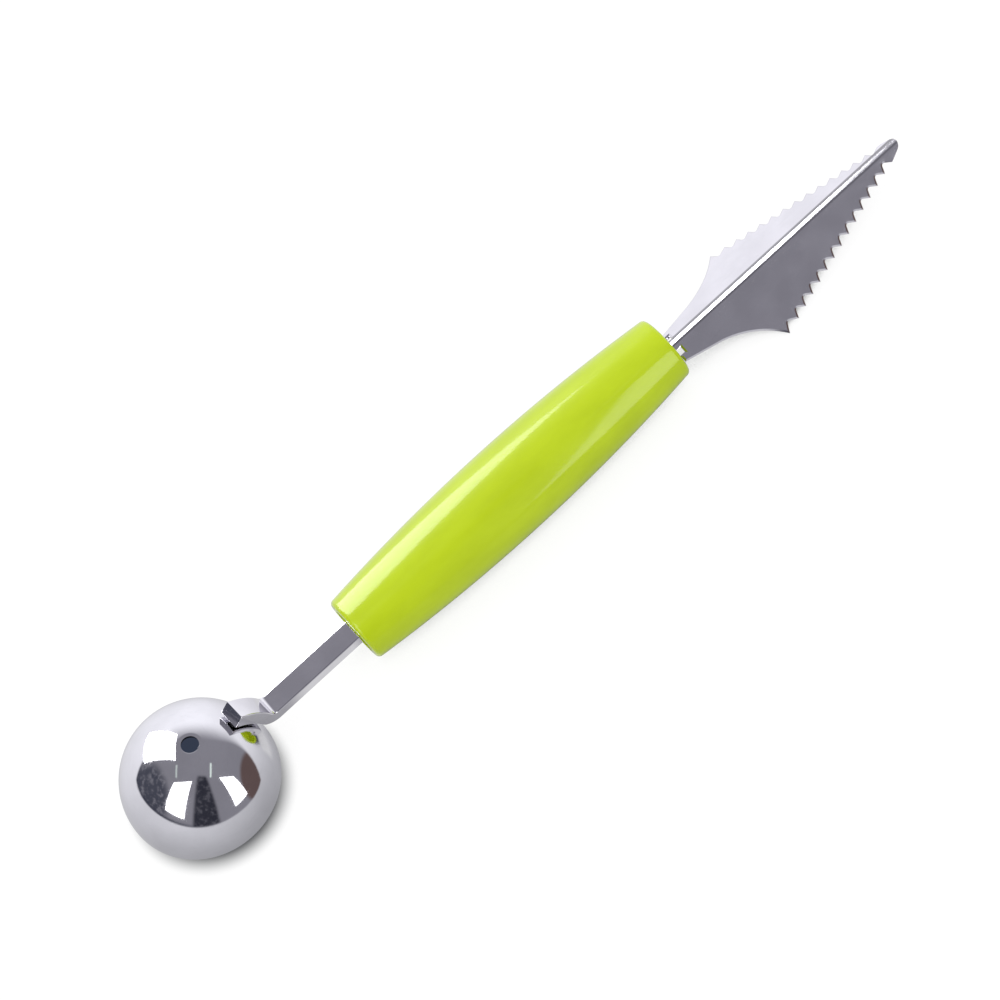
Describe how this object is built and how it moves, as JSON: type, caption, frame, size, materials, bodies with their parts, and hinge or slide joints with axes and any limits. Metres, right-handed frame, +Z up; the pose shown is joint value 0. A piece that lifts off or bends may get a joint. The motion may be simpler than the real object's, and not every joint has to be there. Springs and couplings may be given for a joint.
{
  "type": "melon baller",
  "caption": "Double-ended fruit tool: a round steel scoop on a flat bent shank at one end of a barrel-shaped plastic handle, and a V-folded carving blade with toothed edges at the other.",
  "frame": {"origin": "middle of the bounding box's bottom, under the handle", "axes": "+X along the handle from the scoop to the blade's tip, +Z up towards the scoop's crown and the blade's ridge, Y across the tool"},
  "size_m": [0.2002, 0.032, 0.0218],
  "materials": {
    "bowl_steel": "mirror-polished stainless steel with fine handling scratches, not plated",
    "weld_steel": "bare weld metal",
    "shank_steel": "polished stainless steel bar",
    "handle_plastic": "glossy lime green, solid colour",
    "plug_plastic": "lime green like the handle, slightly duller",
    "blade_steel": "polished stainless steel sheet with pressed, darker cut edges"
  },
  "bodies": {
    "root": {"scoop_bowl": "bowl_steel", "bowl_spot_welds": "weld_steel", "scoop_shank": "shank_steel", "scoop_end_plug": "plug_plastic", "handle_barrel": "handle_plastic", "blade_end_plug": "plug_plastic", "carving_blade": "blade_steel"}
  },
  "joints": []
}
